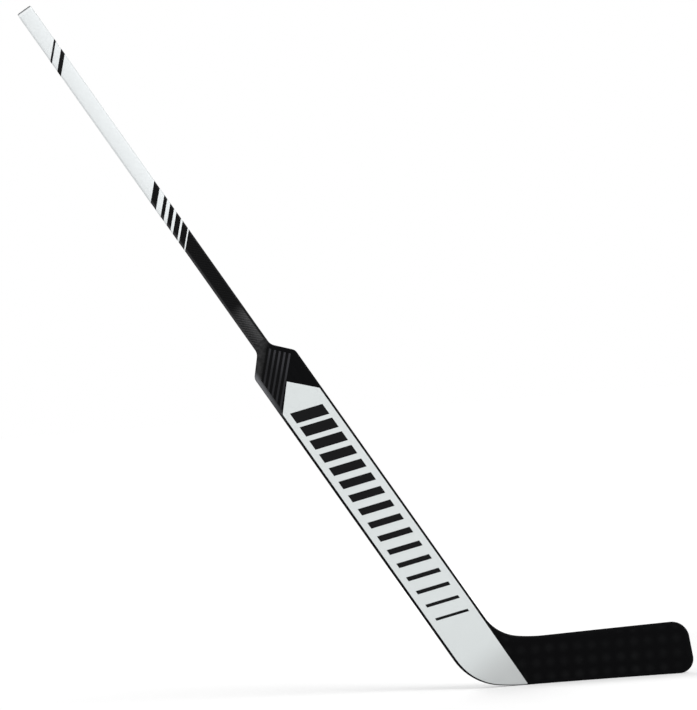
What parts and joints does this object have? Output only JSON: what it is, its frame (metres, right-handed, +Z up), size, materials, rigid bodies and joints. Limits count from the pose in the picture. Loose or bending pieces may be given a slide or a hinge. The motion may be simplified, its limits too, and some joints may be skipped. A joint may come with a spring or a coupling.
{
  "type": "hockey goalie stick",
  "caption": "Composite ice hockey goalie stick: slim hollow shaft, wide white-faced paddle with ribbed shoulder grips, and a thin curved black blade for stopping the puck.",
  "frame": {"origin": "on the underside of the blade where the flat of the sole starts at the heel, at the paddle's mid thickness", "axes": "+X along the sole to the toe, +Z up, -Y out of the front face that stops the puck; the shaft leans to -X"},
  "size_m": [1.0805, 0.0341, 1.243],
  "materials": {
    "carbon_shaft": "clear-coated woven carbon fibre",
    "carbon_paddle": "clear-coated carbon fibre",
    "carbon_blade": "satin woven carbon fibre with a large check",
    "white_film": "smooth printed white film",
    "grip_rubber": "moulded ribs, satin",
    "plug_plastic": "moulded, satin white",
    "foam_core": "closed-cell foam",
    "dense_block": "dense moulded foam"
  },
  "bodies": {
    "root": {"shaft_tube": "carbon_shaft", "shaft_tenon": "carbon_shaft", "butt_end_plug": "plug_plastic", "shaft_wrap": "white_film", "shaft_band": "white_film", "heel_side_rail": "carbon_paddle", "throat_side_rail": "carbon_paddle", "paddle_front_skin": "carbon_paddle", "paddle_back_skin": "carbon_paddle", "paddle_front_film": "white_film", "paddle_back_film": "white_film", "shoulder_grip_front": "grip_rubber", "shoulder_grip_back": "grip_rubber", "shoulder_block": "dense_block", "paddle_core": "foam_core", "heel_block": "dense_block", "blade_front_skin": "carbon_blade", "blade_back_skin": "carbon_blade", "blade_web": "carbon_blade", "blade_core_upper": "foam_core", "blade_core_lower": "foam_core"}
  },
  "joints": []
}
